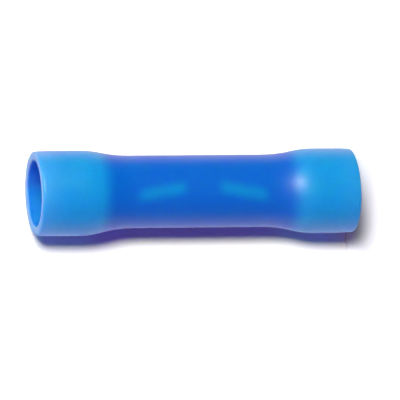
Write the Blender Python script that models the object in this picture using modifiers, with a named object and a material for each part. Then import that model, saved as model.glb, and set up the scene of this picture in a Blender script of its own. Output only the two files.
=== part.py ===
"""Insulated butt splice connector: a belled vinyl sleeve over a tinned copper crimp barrel.

Metres, +Z up. The connector stands on one mouth of its sleeve. The origin is the middle of that
mouth's face, and +Z runs along the axis to the other mouth. Wires enter from both ends.
"""

import math

import bmesh
import bpy

MM = 0.001

# Crimp barrel, a drawn tube for 1.5 to 2.5 mm2 wire
BARREL_LENGTH = 15.0 * MM
BARREL_OUTER_RADIUS = 2.05 * MM
BARREL_BORE_RADIUS = 1.15 * MM
BARREL_RIM_RADIUS = 0.12 * MM
ENTRY_CHAMFER = 0.25 * MM

# Serrations, the grooves across the bore that bite on the wire
GROOVES_A_SIDE = 3
GROOVE_PITCH = 1.2 * MM
GROOVE_MOUTH_WIDTH = 0.4 * MM
GROOVE_FLOOR_WIDTH = 0.2 * MM
GROOVE_DEPTH = 0.12 * MM
GROOVE_FROM_BARREL_END = 2.1 * MM

# Wire stop, a dent punched into the middle of the barrel from its front, -Y
STOP_DEPTH = 0.75 * MM
STOP_HALF_LENGTH = 1.3 * MM
STOP_HALF_WIDTH = 1.25 * MM

# Insulating sleeve, one tube with a bell at each end
SLEEVE_LENGTH = 25.4 * MM
SLEEVE_WALL = 0.73 * MM
SLEEVE_TO_BARREL_GAP = 0.05 * MM
BELL_RISE = 0.48 * MM
BELL_ARC_RADIUS = 9.0 * MM
LIP_ROUNDING = 0.16 * MM

# How finely round shapes are cut
STEPS_AROUND = 48
STEPS_PER_BELL_ARC = 4
STEPS_PER_RIM = 3
STOP_RINGS = 10
LIP_SEGMENTS = 2
LIP_ANGLE = math.radians(60)
SHARP_ANGLE = math.radians(35)

# Sizes that follow from those above
MIDDLE = SLEEVE_LENGTH / 2
BARREL_HALF = BARREL_LENGTH / 2
NECK_OUTER_RADIUS = BARREL_OUTER_RADIUS + SLEEVE_TO_BARREL_GAP + SLEEVE_WALL
MOUTH_OUTER_RADIUS = NECK_OUTER_RADIUS + BELL_RISE


def clear_scene():
    for obj in list(bpy.data.objects):
        bpy.data.objects.remove(obj)


def make_collection(name):
    collection = bpy.data.collections.new(name)
    bpy.context.scene.collection.children.link(collection)
    return collection


def make_material(name, color, roughness, metallic=0.0):
    material = bpy.data.materials.new(name)
    material.use_nodes = True
    shader = material.node_tree.nodes["Principled BSDF"]
    shader.inputs["Base Color"].default_value = (*color, 1.0)
    shader.inputs["Roughness"].default_value = roughness
    shader.inputs["Metallic"].default_value = metallic
    return material


def upside_down(outline):
    return [(radius, -height) for radius, height in reversed(outline)]


def turned(name, outline, closed, collection):
    """A profile of (radius, height) points, from the top down its outer side, swept about Z."""
    profile = bmesh.new()
    points = [profile.verts.new((radius, 0, height)) for radius, height in outline]
    for above, below in zip(points, points[1:]):
        profile.edges.new((above, below))
    if closed:
        profile.edges.new((points[-1], points[0]))
    mesh = bpy.data.meshes.new(name)
    profile.to_mesh(mesh)
    profile.free()
    obj = bpy.data.objects.new(name, mesh)
    collection.objects.link(obj)
    sweep = obj.modifiers.new("sweep", "SCREW")
    sweep.axis = "Z"
    sweep.steps = STEPS_AROUND
    sweep.render_steps = STEPS_AROUND
    return obj


def finish(obj, material):
    """Turns the modifiers into a plain mesh, smooth between its real edges."""
    evaluated = obj.evaluated_get(bpy.context.evaluated_depsgraph_get())
    mesh = bpy.data.meshes.new_from_object(evaluated)
    mesh.name = obj.name
    mesh.materials.append(material)
    mesh.shade_smooth()
    mesh.set_sharp_from_angle(angle=SHARP_ANGLE)
    obj.modifiers.clear()
    obj.data = mesh


def bell_outline():
    """The sleeve's outside above its middle: mouth, then an S of two equal arcs down to the neck.

    The S is centred on the end of the barrel, because the sleeve is belled where the metal stops.
    """
    steepest = math.acos(1 - BELL_RISE / (2 * BELL_ARC_RADIUS))
    arc_length = BELL_ARC_RADIUS * math.sin(steepest)
    turns = [steepest * step / STEPS_PER_BELL_ARC for step in range(STEPS_PER_BELL_ARC + 1)]
    shoulder = []
    hollow = []
    for turn in turns:
        sideways = BELL_ARC_RADIUS * (1 - math.cos(turn))
        along = arc_length - BELL_ARC_RADIUS * math.sin(turn)
        shoulder.append((MOUTH_OUTER_RADIUS - sideways, BARREL_HALF + along))
        hollow.append((NECK_OUTER_RADIUS + sideways, BARREL_HALF - along))
    return [(MOUTH_OUTER_RADIUS, MIDDLE)] + shoulder + hollow[-2::-1]


def make_sleeve(collection):
    outline = bell_outline()
    sleeve = turned("insulating_sleeve", outline + upside_down(outline), False, collection)
    wall = sleeve.modifiers.new("wall", "SOLIDIFY")
    wall.thickness = SLEEVE_WALL
    wall.offset = -1
    wall.use_even_offset = True
    lips = sleeve.modifiers.new("lips", "BEVEL")
    lips.width = LIP_ROUNDING
    lips.segments = LIP_SEGMENTS
    lips.limit_method = "ANGLE"
    lips.angle_limit = LIP_ANGLE
    blue_vinyl = make_material("blue_vinyl", (0.008, 0.18, 0.66), 0.48)
    finish(sleeve, blue_vinyl)
    sleeve.location.z = MIDDLE


def stop_rings(radius):
    """Rings at one radius, close enough together to take the dent of the stop, top to bottom."""
    heights = [STOP_HALF_LENGTH * (1 - 2 * ring / STOP_RINGS) for ring in range(STOP_RINGS + 1)]
    return [(radius, height) for height in heights]


def rim_outline():
    """The rounded outer edge of the barrel's upper end, from the end face to the side."""
    outline = []
    for step in range(STEPS_PER_RIM + 1):
        turn = math.radians(90) * step / STEPS_PER_RIM
        inset = BARREL_RIM_RADIUS * (1 - math.sin(turn))
        below_end = BARREL_RIM_RADIUS * (1 - math.cos(turn))
        outline.append((BARREL_OUTER_RADIUS - inset, BARREL_HALF - below_end))
    return outline


def bore_outline():
    """The upper half of the bore, from the chamfer at the end down over the grooves."""
    outline = [
        (BARREL_BORE_RADIUS + ENTRY_CHAMFER, BARREL_HALF),
        (BARREL_BORE_RADIUS, BARREL_HALF - ENTRY_CHAMFER),
    ]
    floor_radius = BARREL_BORE_RADIUS + GROOVE_DEPTH
    for groove in range(GROOVES_A_SIDE):
        middle = BARREL_HALF - GROOVE_FROM_BARREL_END - groove * GROOVE_PITCH
        outline.append((BARREL_BORE_RADIUS, middle + GROOVE_MOUTH_WIDTH / 2))
        outline.append((floor_radius, middle + GROOVE_FLOOR_WIDTH / 2))
        outline.append((floor_radius, middle - GROOVE_FLOOR_WIDTH / 2))
        outline.append((BARREL_BORE_RADIUS, middle - GROOVE_MOUTH_WIDTH / 2))
    return outline


def barrel_section():
    """The section of the barrel's wall: down its outside, then up its bore."""
    rim = rim_outline()
    bore = bore_outline()
    down_outside = rim + stop_rings(BARREL_OUTER_RADIUS) + upside_down(rim)
    down_bore = bore + stop_rings(BARREL_BORE_RADIUS) + upside_down(bore)
    return down_outside + down_bore[::-1]


def punch_stop(mesh):
    """Dents both faces of the wall alike, so that it bulges into the bore and stops the wire."""
    for vertex in mesh.vertices:
        x, y, height = vertex.co
        radius = math.hypot(x, y)
        round_from_front = radius * math.atan2(x, -y)
        reach = math.hypot(round_from_front / STOP_HALF_WIDTH, height / STOP_HALF_LENGTH)
        if reach < 1:
            dented = radius - STOP_DEPTH * math.cos(reach * math.pi / 2) ** 2
            vertex.co.x = x * dented / radius
            vertex.co.y = y * dented / radius


def make_barrel(collection):
    barrel = turned("crimp_barrel", barrel_section(), True, collection)
    tinned_copper = make_material("tinned_copper", (0.66, 0.64, 0.60), 0.32, metallic=1.0)
    finish(barrel, tinned_copper)
    punch_stop(barrel.data)
    barrel.location.z = MIDDLE


def main():
    clear_scene()
    connector = make_collection("butt_splice_connector")
    make_sleeve(connector)
    make_barrel(connector)


main()
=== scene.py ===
"""Looks of the butt splice connector: vinyl sleeve, tinned barrel, stage, lights and camera.

Metres, +Z up. The connector stands on one mouth, as packed. The photograph's left is +Z here, its
top is +X, and it looks at the front, -Y, where the barrel has the dent of its wire stop. Upper and
lower are along Z. What the lamp lights is the +X side, and the other is the shaded side.
"""

import math

import bmesh
import bpy
from mathutils import Matrix, Vector, noise


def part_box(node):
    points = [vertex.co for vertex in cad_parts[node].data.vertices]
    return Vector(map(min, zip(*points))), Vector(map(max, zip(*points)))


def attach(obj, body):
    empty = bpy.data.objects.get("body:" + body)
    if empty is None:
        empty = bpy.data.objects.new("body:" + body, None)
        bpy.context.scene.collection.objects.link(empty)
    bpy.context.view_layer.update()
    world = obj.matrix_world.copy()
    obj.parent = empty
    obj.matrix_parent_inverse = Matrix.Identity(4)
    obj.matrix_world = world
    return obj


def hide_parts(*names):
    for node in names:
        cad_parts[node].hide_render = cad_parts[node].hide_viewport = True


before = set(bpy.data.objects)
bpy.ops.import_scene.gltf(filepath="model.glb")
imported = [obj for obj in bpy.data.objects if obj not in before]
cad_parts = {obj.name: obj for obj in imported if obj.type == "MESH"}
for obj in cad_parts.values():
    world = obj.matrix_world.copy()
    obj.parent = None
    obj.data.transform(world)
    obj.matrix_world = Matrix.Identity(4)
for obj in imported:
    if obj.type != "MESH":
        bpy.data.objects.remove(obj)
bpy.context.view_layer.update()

MM = 0.001
SLEEVE_LOW, SLEEVE_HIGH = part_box("insulating_sleeve")
BARREL_LOW, BARREL_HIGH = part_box("crimp_barrel")


def colour(red, green, blue):
    return (red, green, blue, 1.0)


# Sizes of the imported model
HALF_LENGTH = (SLEEVE_HIGH.z - SLEEVE_LOW.z) / 2
MIDDLE = (SLEEVE_HIGH.z + SLEEVE_LOW.z) / 2
BARREL_HALF = (BARREL_HIGH.z - BARREL_LOW.z) / 2
BARREL_RADIUS = BARREL_HIGH.x
PACKED_WALL = 0.73 * MM
SLEEVE_TO_BARREL_GAP = 0.05 * MM

# Sleeve: its wall, and the S of each bell, a hollow arc and then a shoulder arc
SHRUNK_BY = 0.035 * MM
WALL = PACKED_WALL - SHRUNK_BY
MOUTH_RADIUS = SLEEVE_HIGH.x - SHRUNK_BY
NECK_RADIUS = BARREL_RADIUS + SLEEVE_TO_BARREL_GAP + WALL
NECK_OFF_MIDDLE = -0.15 * MM
UPPER_BELL_LOWERED = 0.13 * MM
HOLLOW_ARC_RADIUS = 10.2 * MM
SHOULDER_ARC_RADIUS = 7.8 * MM
BELL_PAST_BARREL = 0.13 * MM
BELL_RISE = MOUTH_RADIUS - NECK_RADIUS
BELL_STEEPEST = math.acos(1 - BELL_RISE / (HOLLOW_ARC_RADIUS + SHOULDER_ARC_RADIUS))
HOLLOW_REACH = HOLLOW_ARC_RADIUS * math.sin(BELL_STEEPEST)
SHOULDER_REACH = SHOULDER_ARC_RADIUS * math.sin(BELL_STEEPEST)
MOUTH_DRAWN_IN = 0.045 * MM
MOUTH_TAPER = 1.6 * MM
UPPER_LIP = 0.2 * MM
LOWER_LIP = 0.13 * MM
INNER_LIP = 0.19 * MM

# Small faults of the sleeve: its parts sit off one another, its cuts slant and it ripples
NECK_SHIFT = 0.03 * MM
UPPER_BELL_SHIFT = -0.045 * MM
LOWER_BELL_SHIFT = -0.01 * MM
UPPER_SLANT = math.radians(1.5)
LOWER_SLANT = math.radians(1.8)
SLANT_FADES_OVER = 3.0 * MM
RIPPLE = 0.006 * MM
RIPPLE_SIZE = 2.2 * MM
CUT_RIPPLE = 0.02 * MM
CUT_RIPPLES_ROUND = 2.5

# Barrel
BORE_RADIUS = 1.15 * MM
BARREL_RIM = 0.12 * MM
ENTRY_CHAMFER = 0.25 * MM
GROOVES_A_SIDE = 3
GROOVE_PITCH = 1.2 * MM
GROOVE_MOUTH_WIDTH = 0.4 * MM
GROOVE_FLOOR_WIDTH = 0.2 * MM
GROOVE_DEPTH = 0.12 * MM
GROOVE_FROM_BARREL_END = 2.1 * MM
STOP_DEPTH = 0.75 * MM
STOP_HALF_LENGTH = 1.3 * MM
STOP_HALF_WIDTH = 1.25 * MM
TUBE_RIPPLE = 0.005 * MM

# How finely the pieces are cut
SLEEVE_STEPS = 160
BARREL_STEPS = 120
STOP_ROWS = 26
SHARP_ANGLE = math.radians(35)
ROW_HEIGHT = 0.16 * MM
LIP_STEPS = 6
FACE_STEPS = 4
SLOPE_STEP = 0.01 * MM

# Blues of the vinyl
LIT_THROUGH = colour(0.006, 0.365, 0.81)
OVER_METAL = colour(0.0, 0.155, 0.69)
# painted highlight: the barrel's glints seen through the vinyl
PAINTED_GLINT = colour(0.0, 0.29, 0.74)
# painted light: paler near the mouths, most at the upper one, on the lamp's side
PAINTED_MOUTH_LIGHT = colour(0.07, 0.46, 0.88)
# painted sheen: the lamp's broad highlight on the upper bell
PAINTED_SHEEN = colour(0.08, 0.48, 0.84)
SHADED_SIDE = colour(0.0, 0.05, 1.0)
LIT_RIM = colour(0.3, 0.46, 0.88)
BORE_LIT = colour(0.012, 0.27, 0.73)
BORE_SHADED = colour(0.025, 0.19, 0.64)
# painted light on the cut ends
PAINTED_CUT_FACE_LIGHT = colour(0.36, 0.54, 0.82)
DULLED = colour(0.0, 0.08, 0.4)

# Where those blues begin and end, along X, Y or Z or out from the axis
BARREL_END_FADES = (BARREL_HALF - 0.75 * MM, BARREL_HALF + 0.75 * MM)
MOUTH_FADES = (HALF_LENGTH - 2.4 * MM, HALF_LENGTH)
UPPER_END_FADES = (8.6 * MM, 9.8 * MM)
ENDS_PART = (-1 * MM, 1 * MM)
SIDE_FADES = (-2.6 * MM, -0.6 * MM)
IN_BORE_FADES = (2.56 * MM, 2.64 * MM)
BORE_SHADE_FADES = (-0.1 * MM, 0.9 * MM)
PAINTED_SHEEN_CENTRE = 1.1 * MM
PAINTED_SHEEN_FADES = (0.2 * MM, 1.5 * MM)
SHADED_SIDE_FADES = (-0.4 * MM, 1.4 * MM)
LIT_RIM_FADES = (2.3 * MM, 3.0 * MM)
CUT_FACE_FADES = (0.3, 0.95)

# How strongly they show
# painted light near the mouths, and extra at the upper end, which faces the lamp
MOUTH_LIGHT = 0.25
UPPER_MOUTH_LIGHT = 0.3
PAINTED_SHEEN_LIGHT = 0.16
SHADED_SIDE_TINT = 0.09
LIT_RIM_TINT = 0.2
CUT_FACE_TINT = 0.8
CUT_FACE_IN_FRONT = 0.05
CUT_FACE_AT_SIDE = 0.75
CUT_FACE_BELOW = 0.5
CLOUDS_DULL = 0.12
GRAIN_DULLS = 0.25

# Skin of the vinyl
CLOUD_SCALE = 700.0
GRAIN_SCALE = 4000.0
VINYL_ROUGHNESS = 0.325
CLOUDS_ROUGHEN = 0.06
CUT_ROUGHENS = 0.37
GRAIN_STRENGTH = 0.2
GRAIN_DEPTH = 0.02 * MM

# Two slanting painted highlights on the front: the barrel's glints seen through the vinyl, painted
# in
GLINT_CENTRE = 3.24 * MM
GLINT_HALF_LENGTH = 1.8 * MM
GLINT_HALF_WIDTH = 0.46 * MM
GLINT_SLANT = 0.17
GLINT_ENDS = (0.7 * GLINT_HALF_LENGTH, 1.3 * GLINT_HALF_LENGTH)
GLINT_SIDES = (0.1 * GLINT_HALF_WIDTH, 1.9 * GLINT_HALF_WIDTH)

# Tin plate, and the marks on it
TIN_DARK = colour(0.60, 0.58, 0.55)
TIN_LIGHT = colour(0.78, 0.77, 0.75)
COPPER = colour(0.80, 0.40, 0.25)
DRAWN_STRETCH = 0.04
DRAWN_SCALE = 7000.0
RING_SCALE = 9000.0
MOTTLE_SCALE = 1500.0
END_FACE_FADES = (0.8, 0.95)
WORN_EDGE_FADES = (0.4, 0.65)
TIN_ROUGHNESS = 0.2
MOTTLE_ROUGHENS = 0.2
MARK_STRENGTH = 0.25
MARK_DEPTH = 0.01 * MM

# The photograph's camera, as angles from the connector's own axes
PHOTO_PIXELS = 400
PIXELS_PER_MM = 12.955
CAMERA_DISTANCE = 600 * MM
CAMERA_TILT = math.radians(14)
CAMERA_ROLL = math.radians(0.53)
CENTRE_LEFT_OF_PHOTO_MIDDLE = 6.75 / PIXELS_PER_MM * MM
CENTRE_ABOVE_PHOTO_MIDDLE = 8.42 / PIXELS_PER_MM * MM

# The lamp, and how far the table and the room are turned towards the photograph's top
TABLE_TILT = math.radians(20)
ROOM_TILT = math.radians(10.5)
KEY_TOWARDS_TOP = math.radians(22.85)
KEY_TOWARDS_LEFT = math.radians(20.4)
KEY_DISTANCE = 1.0
KEY_ACROSS_AXIS = 0.33
KEY_ALONG_AXIS = 0.48
KEY_WATTS = 11.5

# The room's light, by cosines from a direction; top and bottom are the photograph's
BEHIND_FADES = (-0.15, 0.15)
WHITE_SIDE_FADES = (-0.33, -0.03)
FROM_TOP_FADES = (-0.3, 0.3)
FILL_IN_FRONT = colour(0.075, 0.02, 0.02)
FILL_BEHIND = colour(0.5, 0.5, 0.6)
GLOSS_IN_FRONT = colour(0.04, 0.05, 0.08)
GLOSS_FROM_BOTTOM = colour(1.27, 1.14, 1.35)
GLOSS_FROM_TOP = colour(1.65, 1.3, 1.45)
WHITE = colour(1, 1, 1)

# Floor, with the soft shadow of the connector's foot, along X and forwards along Y
FLOOR_SIZE = 1.2
FLOOR_GLOW = 0.4
FLOOR_WHITE = colour(1, 1, 0.97)
FLOOR_SHADOW = colour(0.12, 0.12, 0.14)
FLOOR_UNDER_SLEEVE = colour(0.15, 0.12, 0.22)
FOOT_SHADED_EDGE = (-4.95 * MM, -3.41 * MM)
FOOT_SHADED_SPREAD = (0.13, 0.33)
FOOT_LIT_EDGE = (-2.4 * MM, 1.8 * MM)
FOOT_LIT_SPREAD = 0.39
FOOT_REACH = (-12.7 * MM, -0.8 * MM)
UNDER_SLEEVE_FADES = (-2.0 * MM, 0.8 * MM)

# Board behind the connector, which stands for the table that it lay on
BOARD_SIZE = 0.6
BOARD_UNSEEN = colour(0.9, 0.86, 1.0)
BOARD_WHITE = colour(1.18, 1.18, 1.12)
PENUMBRA_AT_NECK = colour(1.18, 1.15, 0.94)
PENUMBRA_AT_BELLS = colour(1.18, 1.12, 1.07)
CORE_AT_NECK = colour(1.40, 0.93, 1.04)
CORE_AT_BELLS = colour(1.40, 0.9, 1.22)
CORE_AT_FOOT = colour(1.42, 1.2, 1.55)
SHADOW_OFF_MIDDLE = -1.7 * MM
PENUMBRA_FADES = (-NECK_RADIUS - 1.8 * MM, -NECK_RADIUS - 1.0 * MM)
CORE_FADES = (-NECK_RADIUS - 0.85 * MM, -NECK_RADIUS - 0.5 * MM)
CORE_HIDDEN = (-2.5 * MM, -1.5 * MM)
SHADOW_TOP_FADES = (11.2 * MM, 11.8 * MM)
BOARD_FOOT_FADES = (0.0, 1.5 * MM)


class Graph:
    """Builds the nodes of one material or world."""

    def __init__(self, owner):
        owner.use_nodes = True
        self.tree = owner.node_tree
        self.tree.nodes.clear()

    def node(self, kind, settings=None, inputs=None):
        """A node with its settings made first, and then its sockets given values or links."""
        node = self.tree.nodes.new(kind)
        for name, value in (settings or {}).items():
            setattr(node, name, value)
        for key, value in (inputs or {}).items():
            if isinstance(value, Wire):
                self.tree.links.new(value.socket, node.inputs[key])
            else:
                node.inputs[key].default_value = value
        return node

    def value(self, kind, output=0, settings=None, inputs=None):
        return Wire(self, self.node(kind, settings, inputs).outputs[output])

    def blend(self, factor, first, second):
        """first where factor is 0, second where it is 1; both are colours."""
        settings = {"data_type": "RGBA"}
        return self.value("ShaderNodeMix", 2, settings, {0: factor, 6: first, 7: second})

    def ramp(self, value, start, end):
        """0 before start, 1 after end, and smooth between."""
        settings = {"interpolation_type": "SMOOTHSTEP"}
        inputs = {"Value": value, "From Min": start, "From Max": end}
        return self.value("ShaderNodeMapRange", 0, settings, inputs)

    def part(self, vector, axis):
        return self.value("ShaderNodeSeparateXYZ", axis, inputs={0: vector})

    def length(self, across, depth):
        flat = self.value("ShaderNodeCombineXYZ", 0, inputs={"X": across, "Y": depth})
        return self.value("ShaderNodeVectorMath", "Value", {"operation": "LENGTH"}, {0: flat})

    def noise(self, place, scale, detail):
        inputs = {"Vector": place, "Scale": scale, "Detail": detail}
        return self.value("ShaderNodeTexNoise", 0, inputs=inputs)

    def bump(self, height, strength, distance):
        inputs = {"Strength": strength, "Distance": distance, "Height": height}
        return self.value("ShaderNodeBump", 0, inputs=inputs)

    def along(self, vector, direction):
        """How much of the vector lies along the direction."""
        settings = {"operation": "DOT_PRODUCT"}
        return self.value("ShaderNodeVectorMath", 1, settings, {0: vector, 1: direction})


class Wire:
    """The output of a node, on which arithmetic adds the nodes that work it out."""

    def __init__(self, graph, socket):
        self.graph = graph
        self.socket = socket

    def _maths(self, operation, first, second=0.0):
        inputs = {0: first, 1: second}
        return self.graph.value("ShaderNodeMath", 0, {"operation": operation}, inputs)

    def __add__(self, other):
        return self._maths("ADD", self, other)

    def __radd__(self, other):
        return self._maths("ADD", other, self)

    def __sub__(self, other):
        return self._maths("SUBTRACT", self, other)

    def __rsub__(self, other):
        return self._maths("SUBTRACT", other, self)

    def __mul__(self, other):
        return self._maths("MULTIPLY", self, other)

    def __rmul__(self, other):
        return self._maths("MULTIPLY", other, self)

    def __abs__(self):
        return self._maths("ABSOLUTE", self)


def smooth(value):
    """0 below 0, 1 above 1, and smooth between."""
    value = min(max(value, 0.0), 1.0)
    return value * value * (3 - 2 * value)


def past_bell_middle(height):
    """How far a height is beyond the steepest point of the nearer bell's S, to its mouth."""
    past = abs(height - NECK_OFF_MIDDLE) - BARREL_HALF - BELL_PAST_BARREL
    return past + UPPER_BELL_LOWERED if height > 0 else past


def outer_radius(height):
    """The sleeve's outside at a height above or below its middle."""
    past = past_bell_middle(height)
    if past <= -HOLLOW_REACH:
        radius = NECK_RADIUS
    elif past < 0:
        along = past + HOLLOW_REACH
        radius = NECK_RADIUS + HOLLOW_ARC_RADIUS - math.sqrt(HOLLOW_ARC_RADIUS**2 - along**2)
    elif past < SHOULDER_REACH:
        along = SHOULDER_REACH - past
        radius = MOUTH_RADIUS - SHOULDER_ARC_RADIUS + math.sqrt(SHOULDER_ARC_RADIUS**2 - along**2)
    else:
        radius = MOUTH_RADIUS
    into_taper = max(abs(height) - (HALF_LENGTH - MOUTH_TAPER), 0) / MOUTH_TAPER
    return radius - MOUTH_DRAWN_IN * into_taper**2


def bore_radius(height):
    """The sleeve's inside, one wall in from its outside, measured square to the surface."""
    rise = outer_radius(height + SLOPE_STEP) - outer_radius(height - SLOPE_STEP)
    slope = rise / (2 * SLOPE_STEP)
    return outer_radius(height) - WALL * math.hypot(1, slope)


def quarter_turn(radius, height, rounding, outwards):
    """A rounded edge at the upper end, from the end face to the wall."""
    points = []
    for step in range(LIP_STEPS + 1):
        turn = math.radians(90) * step / LIP_STEPS
        sideways = rounding * (1 - math.sin(turn)) * outwards
        points.append((radius - sideways, height - rounding * (1 - math.cos(turn))))
    return points


def lip(rounding):
    """The section of the sleeve's upper end, from the bore over the cut face to the outside."""
    inner = quarter_turn(bore_radius(HALF_LENGTH), HALF_LENGTH, INNER_LIP, -1)[::-1]
    outer = quarter_turn(outer_radius(HALF_LENGTH), HALF_LENGTH, rounding, 1)
    start = inner[-1][0]
    width = outer[0][0] - start
    face = [(start + width * step / FACE_STEPS, HALF_LENGTH) for step in range(1, FACE_STEPS)]
    return inner + face + outer


def wall_rows(radius, top, bottom):
    """Points down one side of the sleeve's wall, between the two lips."""
    rows = round((top - bottom) / ROW_HEIGHT)
    heights = [top + (bottom - top) * row / rows for row in range(1, rows)]
    return [(radius(height), height) for height in heights]


def mirrored(section):
    return [(radius, -height) for radius, height in reversed(section)]


def sleeve_section():
    """The wall's closed section as (radius, height from the middle), down outside, up inside."""
    outside = wall_rows(outer_radius, HALF_LENGTH - UPPER_LIP, LOWER_LIP - HALF_LENGTH)
    inside = wall_rows(bore_radius, HALF_LENGTH - INNER_LIP, INNER_LIP - HALF_LENGTH)
    return lip(UPPER_LIP) + outside + mirrored(lip(LOWER_LIP)) + inside[::-1]


def barrel_bore():
    """The upper half of the barrel's inside, from its entry down over the serrations."""
    points = [
        (BORE_RADIUS + ENTRY_CHAMFER, BARREL_HALF),
        (BORE_RADIUS, BARREL_HALF - ENTRY_CHAMFER),
    ]
    floor = BORE_RADIUS + GROOVE_DEPTH
    for groove in range(GROOVES_A_SIDE):
        middle = BARREL_HALF - GROOVE_FROM_BARREL_END - groove * GROOVE_PITCH
        points.append((BORE_RADIUS, middle + GROOVE_MOUTH_WIDTH / 2))
        points.append((floor, middle + GROOVE_FLOOR_WIDTH / 2))
        points.append((floor, middle - GROOVE_FLOOR_WIDTH / 2))
        points.append((BORE_RADIUS, middle - GROOVE_MOUTH_WIDTH / 2))
    return points


def barrel_section():
    """The barrel's closed section as (radius, height from the middle), as the sleeve's."""
    rim = quarter_turn(BARREL_RADIUS, BARREL_HALF, BARREL_RIM, 1)
    heights = [STOP_HALF_LENGTH * (1 - 2 * row / STOP_ROWS) for row in range(STOP_ROWS + 1)]
    outside = rim + [(BARREL_RADIUS, height) for height in heights] + mirrored(rim)
    bore = barrel_bore()
    inside = bore + [(BORE_RADIUS, height) for height in heights] + mirrored(bore)
    return outside + inside[::-1]


def spun(section, steps):
    """A closed section of (radius, height) points turned once round Z, as a bmesh."""
    solid = bmesh.new()
    points = [solid.verts.new((radius, 0, height)) for radius, height in section]
    edges = [solid.edges.new(pair) for pair in zip(points, points[1:] + points[:1])]
    bmesh.ops.spin(
        solid,
        geom=points + edges,
        axis=(0, 0, 1),
        angle=math.tau,
        steps=steps,
        use_merge=True,
    )
    bmesh.ops.recalc_face_normals(solid, faces=solid.faces)
    return solid


def piece_from(solid, name, material):
    """The bmesh, lifted to its place, as a smooth object that rides with the connector."""
    bmesh.ops.translate(solid, verts=solid.verts, vec=(0, 0, MIDDLE))
    mesh = bpy.data.meshes.new(name)
    solid.to_mesh(mesh)
    solid.free()
    mesh.shade_smooth()
    mesh.set_sharp_from_angle(angle=SHARP_ANGLE)
    mesh.materials.append(material)
    piece = bpy.data.objects.new(name, mesh)
    bpy.context.scene.collection.objects.link(piece)
    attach(piece, "root")
    return piece


def bell_by_hand(solid):
    """The small faults of a sleeve that is belled hot and cut by a knife."""
    for vertex in solid.verts:
        x, y, height = vertex.co
        out = Vector((x, y, 0)).normalized()
        belled = smooth((past_bell_middle(height) + HOLLOW_REACH) / (HOLLOW_REACH + SHOULDER_REACH))
        bell_shift = UPPER_BELL_SHIFT if height > 0 else LOWER_BELL_SHIFT
        vertex.co.x += NECK_SHIFT * (1 - belled) + bell_shift * belled
        vertex.co += out * noise.noise(Vector((x, y, height)) / RIPPLE_SIZE) * RIPPLE
        if height > 0:
            from_end = HALF_LENGTH - height
            uneven = (1 + noise.noise(out * CUT_RIPPLES_ROUND)) / 2
            cut_back = math.tan(UPPER_SLANT) * (MOUTH_RADIUS - x)
            vertex.co.z -= smooth(1 - from_end / SLANT_FADES_OVER) * cut_back
            vertex.co.z -= smooth(1 - from_end / UPPER_LIP) * uneven * CUT_RIPPLE
        else:
            from_end = HALF_LENGTH + height
            cut_back = math.tan(LOWER_SLANT) * (MOUTH_RADIUS + x)
            vertex.co.z += smooth(1 - from_end / SLANT_FADES_OVER) * cut_back


def punch_stop(solid):
    """Dents the wall from the front, so that it bulges into the bore and stops the wires."""
    for vertex in solid.verts:
        x, y, height = vertex.co
        radius = math.hypot(x, y)
        round_from_front = radius * math.atan2(x, -y)
        reach = math.hypot(round_from_front / STOP_HALF_WIDTH, height / STOP_HALF_LENGTH)
        if reach < 1:
            dented = radius - STOP_DEPTH * math.cos(reach * math.pi / 2) ** 2
            vertex.co.x = x * dented / radius
            vertex.co.y = y * dented / radius


def ripple_tube(solid):
    """The slight unevenness of a drawn tube, inwards only, so that it stays clear of the sleeve."""
    for vertex in solid.verts:
        inwards = (noise.noise(vertex.co / RIPPLE_SIZE) - 1) / 2
        vertex.co += vertex.normal * inwards * TUBE_RIPPLE


def make_sleeve():
    solid = spun(sleeve_section(), SLEEVE_STEPS)
    bell_by_hand(solid)
    piece = piece_from(solid, "belled_vinyl_sleeve", blue_vinyl())
    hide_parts("insulating_sleeve")


def make_barrel():
    solid = spun(barrel_section(), BARREL_STEPS)
    punch_stop(solid)
    ripple_tube(solid)
    piece = piece_from(solid, "tinned_crimp_barrel", tinned_copper())
    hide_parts("crimp_barrel")


def blue_vinyl():
    """Satin PVC: royal blue where it lies on metal, lighter where light comes through the wall."""
    material = bpy.data.materials.new("blue_vinyl")
    graph = Graph(material)
    place = graph.value("ShaderNodeTexCoord", "Object")
    endwards = abs(graph.part(graph.value("ShaderNodeTexCoord", "Normal"), "Z"))
    cut_face_and_painted_light = cut_face_and_painted_light_mask(graph, place, endwards)
    clouds = graph.noise(place, CLOUD_SCALE, 3.0)
    grain = graph.noise(place, GRAIN_SCALE, 2.0)
    # cut ends painted paler with light; the same mask roughens them
    body = graph.blend(cut_face_and_painted_light * CUT_FACE_TINT, vinyl_blues(graph, place), PAINTED_CUT_FACE_LIGHT)
    dulled = clouds * CLOUDS_DULL + (grain - 0.5) * GRAIN_DULLS
    roughness = VINYL_ROUGHNESS + clouds * CLOUDS_ROUGHEN + cut_face_and_painted_light * CUT_ROUGHENS
    vinyl = graph.value(
        "ShaderNodeBsdfPrincipled",
        0,
        inputs={
            "Base Color": graph.blend(dulled, body, DULLED),
            "Roughness": roughness,
            "IOR": 1.5,
            "Anisotropic": 0.7,
            "Subsurface Weight": 0.7,
            "Subsurface Radius": (0.1, 0.5, 3.0),
            "Subsurface Scale": 0.8 * MM,
            "Normal": graph.bump(grain, GRAIN_STRENGTH, GRAIN_DEPTH),
        },
    )
    graph.node("ShaderNodeOutputMaterial", inputs={"Surface": vinyl})
    return material


def cut_face_and_painted_light_mask(graph, place, endwards):
    """The sleeve's rougher cut ends, painted paler with light: palest at the sides and lower end,
    least at the front of the upper one.
    """
    side_lit = graph.ramp(graph.part(place, "Y"), *SIDE_FADES)
    lower_end = 1 - graph.ramp(graph.part(place, "Z") - MIDDLE, *ENDS_PART)
    shown = CUT_FACE_IN_FRONT + side_lit * CUT_FACE_AT_SIDE + lower_end * CUT_FACE_BELOW
    return graph.ramp(endwards, *CUT_FACE_FADES) * shown


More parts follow.
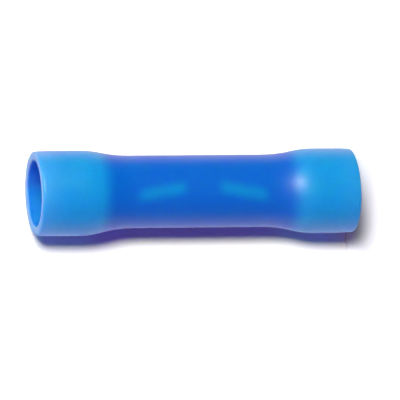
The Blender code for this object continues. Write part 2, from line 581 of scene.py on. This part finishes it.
def vinyl_blues(graph, place):
    """The blues of the wall and the bore, before the cut faces, the clouds and the grain."""
    across = graph.part(place, "X")
    depth = graph.part(place, "Y")
    height = graph.part(place, "Z")
    from_middle = height - MIDDLE
    along_neck = abs(from_middle - NECK_OFF_MIDDLE)
    over_barrel = 1 - graph.ramp(along_neck, *BARREL_END_FADES)
    near_mouth = graph.ramp(abs(from_middle), *MOUTH_FADES)
    upper_end = graph.ramp(from_middle, *UPPER_END_FADES)
    # painted sheen of the lamp, a paler patch on the upper bell's lit side
    painted_sheen = upper_end * (1 - graph.ramp(abs(across - PAINTED_SHEEN_CENTRE), *PAINTED_SHEEN_FADES))
    shaded_side = graph.ramp(0 - across, *SHADED_SIDE_FADES)
    lit_rim = near_mouth * upper_end * graph.ramp(across, *LIT_RIM_FADES)
    in_bore = 1 - graph.ramp(graph.length(across, depth), *IN_BORE_FADES)
    bore = graph.blend(graph.ramp(across, *BORE_SHADE_FADES), BORE_LIT, BORE_SHADED)

    body = graph.blend(over_barrel, LIT_THROUGH, OVER_METAL)
    # painted highlights of the barrel's glints, seen through the vinyl
    body = graph.blend(painted_barrel_glints(graph, across, depth, along_neck), body, PAINTED_GLINT)
    # painted light near the mouths, more at the upper end towards the lamp
    painted_mouth_light = MOUTH_LIGHT + upper_end * UPPER_MOUTH_LIGHT
    body = graph.blend(near_mouth * painted_mouth_light, body, PAINTED_MOUTH_LIGHT)
    body = graph.blend(painted_sheen * PAINTED_SHEEN_LIGHT, body, PAINTED_SHEEN)
    body = graph.blend(shaded_side * SHADED_SIDE_TINT, body, SHADED_SIDE)
    body = graph.blend(lit_rim * LIT_RIM_TINT, body, LIT_RIM)
    return graph.blend(in_bore, body, bore)


def painted_barrel_glints(graph, across, depth, along_neck):
    """Two slanting patches on the front, painted lighter as highlights of the barrel's glints seen
    through the vinyl.
    """
    past_centre = along_neck - GLINT_CENTRE
    off_line = abs(across + past_centre * GLINT_SLANT)
    within = 1 - graph.ramp(abs(past_centre), *GLINT_ENDS)
    near_line = 1 - graph.ramp(off_line, *GLINT_SIDES)
    return within * near_line * graph.ramp(0 - depth, 0.0, NECK_RADIUS / 2)


def tinned_copper():
    """Tin plate, marked along the drawn tube and round its cut ends, with copper at its edges."""
    material = bpy.data.materials.new("tinned_copper")
    graph = Graph(material)
    place = graph.value("ShaderNodeTexCoord", "Object")
    across = graph.part(place, "X")
    depth = graph.part(place, "Y")
    endwards = abs(graph.part(graph.value("ShaderNodeTexCoord", "Normal"), "Z"))
    end_face = graph.ramp(endwards, *END_FACE_FADES)
    worn_edge = graph.ramp(endwards, *WORN_EDGE_FADES) * (1 - end_face)

    stretched = {"X": across, "Y": depth, "Z": graph.part(place, "Z") * DRAWN_STRETCH}
    lines = graph.value("ShaderNodeCombineXYZ", 0, inputs=stretched)
    drawn = graph.noise(lines, DRAWN_SCALE, 2.0)
    from_axis = {"X": graph.length(across, depth)}
    circles = graph.value("ShaderNodeCombineXYZ", 0, inputs=from_axis)
    turned = graph.noise(circles, RING_SCALE, 2.0)
    marks = drawn + (turned - drawn) * end_face

    mottle = graph.noise(place, MOTTLE_SCALE, 4.0)
    tin = graph.blend(mottle, TIN_DARK, TIN_LIGHT)
    metal = graph.value(
        "ShaderNodeBsdfPrincipled",
        0,
        inputs={
            "Base Color": graph.blend(worn_edge * mottle, tin, COPPER),
            "Metallic": 1.0,
            "Roughness": TIN_ROUGHNESS + mottle * MOTTLE_ROUGHENS,
            "Normal": graph.bump(marks, MARK_STRENGTH, MARK_DEPTH),
        },
    )
    graph.node("ShaderNodeOutputMaterial", inputs={"Surface": metal})
    return material


def towards(top, left):
    """The direction at those angles from the front, towards the photograph's top and left."""
    across = math.cos(top)
    return Vector((math.sin(top), -across * math.cos(left), across * math.sin(left)))


def floor_shade(graph):
    """White, with the soft shadow of the connector's foot, which widens towards the front."""
    place = graph.value("ShaderNodeTexCoord", "Object")
    across = graph.part(place, "X")
    depth = graph.part(place, "Y")
    ahead = (abs(depth) - depth) * 0.5
    lower_start = FOOT_SHADED_EDGE[0] - ahead * FOOT_SHADED_SPREAD[0]
    lower_end = FOOT_SHADED_EDGE[1] + ahead * FOOT_SHADED_SPREAD[1]
    upper_end = FOOT_LIT_EDGE[1] + ahead * FOOT_LIT_SPREAD
    unlit = graph.ramp(across, lower_start, lower_end)
    begins = unlit * (2 - unlit)
    ends = 1 - graph.ramp(across, FOOT_LIT_EDGE[0], upper_end)
    forwards = graph.ramp(depth, *FOOT_REACH)
    shadow = begins * ends * forwards * forwards
    under_sleeve = graph.ramp(depth, *UNDER_SLEEVE_FADES) * shadow * shadow * unlit
    dark = graph.blend(under_sleeve, FLOOR_SHADOW, FLOOR_UNDER_SLEEVE)
    return graph.blend(shadow, FLOOR_WHITE, dark)


def board_shade(graph):
    """White that reaches full white to the camera, and violet in the shadow's dark core."""
    place = graph.value("ShaderNodeTexCoord", "Object")
    across = graph.part(place, "X")
    height = graph.part(place, "Z")
    along_shadow = abs(height - MIDDLE - SHADOW_OFF_MIDDLE)
    flare = graph.ramp(along_shadow, BARREL_HALF - HOLLOW_REACH, BARREL_HALF + SHOULDER_REACH)
    from_neck = across + flare * BELL_RISE
    below_top = 1 - graph.ramp(height - MIDDLE, *SHADOW_TOP_FADES)
    in_penumbra = graph.ramp(from_neck, *PENUMBRA_FADES) * below_top
    in_core = graph.ramp(from_neck, *CORE_FADES) * (1 - graph.ramp(across, *CORE_HIDDEN))
    at_foot = 1 - graph.ramp(height, *BOARD_FOOT_FADES)

    penumbra = graph.blend(flare, PENUMBRA_AT_NECK, PENUMBRA_AT_BELLS)
    core = graph.blend(flare, CORE_AT_NECK, CORE_AT_BELLS)
    core = graph.blend(at_foot, core, CORE_AT_FOOT)
    shown = graph.blend(in_penumbra, BOARD_WHITE, penumbra)
    shown = graph.blend(in_core * below_top, shown, core)
    seen = graph.value("ShaderNodeLightPath", "Is Camera Ray")
    return graph.blend(seen, BOARD_UNSEEN, shown)


def stage_material(name, shade_in, glow):
    """Matt, plus light of its own that only the camera sees, and clear from behind."""
    material = bpy.data.materials.new(name)
    graph = Graph(material)
    shade = shade_in(graph)
    matt = graph.value("ShaderNodeBsdfDiffuse", 0, inputs={"Color": shade})
    seen = graph.value("ShaderNodeLightPath", "Is Camera Ray")
    light = graph.value("ShaderNodeEmission", 0, inputs={"Color": shade, "Strength": seen * glow})
    front = graph.value("ShaderNodeAddShader", 0, inputs={0: matt, 1: light})
    behind = graph.value("ShaderNodeNewGeometry", "Backfacing")
    clear = graph.value("ShaderNodeBsdfTransparent", 0)
    surface = graph.value("ShaderNodeMixShader", 0, inputs={0: behind, 1: front, 2: clear})
    graph.node("ShaderNodeOutputMaterial", inputs={"Surface": surface})
    return material


def stage_plane(name, centre, normal, size, material):
    solid = bmesh.new()
    bmesh.ops.create_grid(solid, x_segments=1, y_segments=1, size=size / 2)
    turn = Vector((0, 0, 1)).rotation_difference(normal).to_matrix().to_4x4()
    bmesh.ops.transform(solid, matrix=Matrix.Translation(centre) @ turn, verts=solid.verts)
    mesh = bpy.data.meshes.new(name)
    solid.to_mesh(mesh)
    solid.free()
    mesh.materials.append(material)
    plane = bpy.data.objects.new(name, mesh)
    bpy.context.scene.collection.objects.link(plane)
    plane.visible_shadow = False
    plane.visible_glossy = False
    return plane


def make_stage():
    floor_white = stage_material("floor", floor_shade, FLOOR_GLOW)
    floor = stage_plane("floor", Vector((0, 0, 0)), Vector((0, 0, 1)), FLOOR_SIZE, floor_white)
    floor.visible_diffuse = False
    table_normal = towards(TABLE_TILT, 0)
    board_centre = Vector((0, 0, BOARD_SIZE / 2)) - table_normal * MOUTH_RADIUS
    board_white = stage_material("backdrop", board_shade, 0.0)
    stage_plane("backdrop", board_centre, table_normal, BOARD_SIZE, board_white)


def make_world():
    """White to the camera; for the rest, dim in front and bright behind, as a white table is."""
    world = bpy.data.worlds.new("studio")
    bpy.context.scene.world = world
    graph = Graph(world)
    direction = graph.value("ShaderNodeTexCoord", "Generated")
    behind = 1 - graph.ramp(graph.along(direction, towards(TABLE_TILT, 0)), *BEHIND_FADES)
    white_side = 1 - graph.ramp(graph.along(direction, towards(ROOM_TILT, 0)), *WHITE_SIDE_FADES)
    from_top = graph.ramp(graph.along(direction, Vector((1, 0, 0))), *FROM_TOP_FADES)
    seen = graph.value("ShaderNodeLightPath", "Is Camera Ray")
    glossy = graph.value("ShaderNodeLightPath", "Is Glossy Ray")
    fill = graph.blend(behind, FILL_IN_FRONT, FILL_BEHIND)
    white = graph.blend(from_top, GLOSS_FROM_BOTTOM, GLOSS_FROM_TOP)
    gloss = graph.blend(white_side, GLOSS_IN_FRONT, white)
    shown = graph.blend(seen, graph.blend(glossy, fill, gloss), WHITE)
    light = graph.value("ShaderNodeBackground", 0, inputs={"Color": shown})
    graph.node("ShaderNodeOutputWorld", inputs={"Surface": light})


def make_key():
    lamp = bpy.data.lights.new("key", "AREA")
    lamp.shape = "ELLIPSE"
    lamp.size = KEY_ACROSS_AXIS
    lamp.size_y = KEY_ALONG_AXIS
    lamp.energy = KEY_WATTS
    key = bpy.data.objects.new("key", lamp)
    back = towards(KEY_TOWARDS_TOP, KEY_TOWARDS_LEFT)
    along = (Vector((0, 0, 1)) - back * back.z).normalized()
    turn = Matrix((along.cross(back), along, back)).transposed().to_4x4()
    key.matrix_world = Matrix.Translation(Vector((0, 0, MIDDLE)) + back * KEY_DISTANCE) @ turn
    bpy.context.scene.collection.objects.link(key)


def make_camera():
    """Side on to the connector, turned so that its standing axis lies across the picture."""
    back = towards(0, CAMERA_TILT)
    level_right = Vector((0, -math.sin(CAMERA_TILT), -math.cos(CAMERA_TILT)))
    level_up = back.cross(level_right)
    right = level_right * math.cos(CAMERA_ROLL) - level_up * math.sin(CAMERA_ROLL)
    up = back.cross(right)
    aim = Vector((0, 0, MIDDLE)) + right * CENTRE_LEFT_OF_PHOTO_MIDDLE
    aim -= up * CENTRE_ABOVE_PHOTO_MIDDLE
    data = bpy.data.cameras.new("photo_camera")
    picture_width = PHOTO_PIXELS / PIXELS_PER_MM * MM
    data.lens = data.sensor_width * CAMERA_DISTANCE / picture_width
    camera = bpy.data.objects.new("photo_camera", data)
    turn = Matrix((right, up, back)).transposed().to_4x4()
    camera.matrix_world = Matrix.Translation(aim + back * CAMERA_DISTANCE) @ turn
    bpy.context.scene.collection.objects.link(camera)
    bpy.context.scene.camera = camera


bpy.context.scene.view_settings.view_transform = "Standard"
make_sleeve()
make_barrel()
make_stage()
make_world()
make_key()
make_camera()
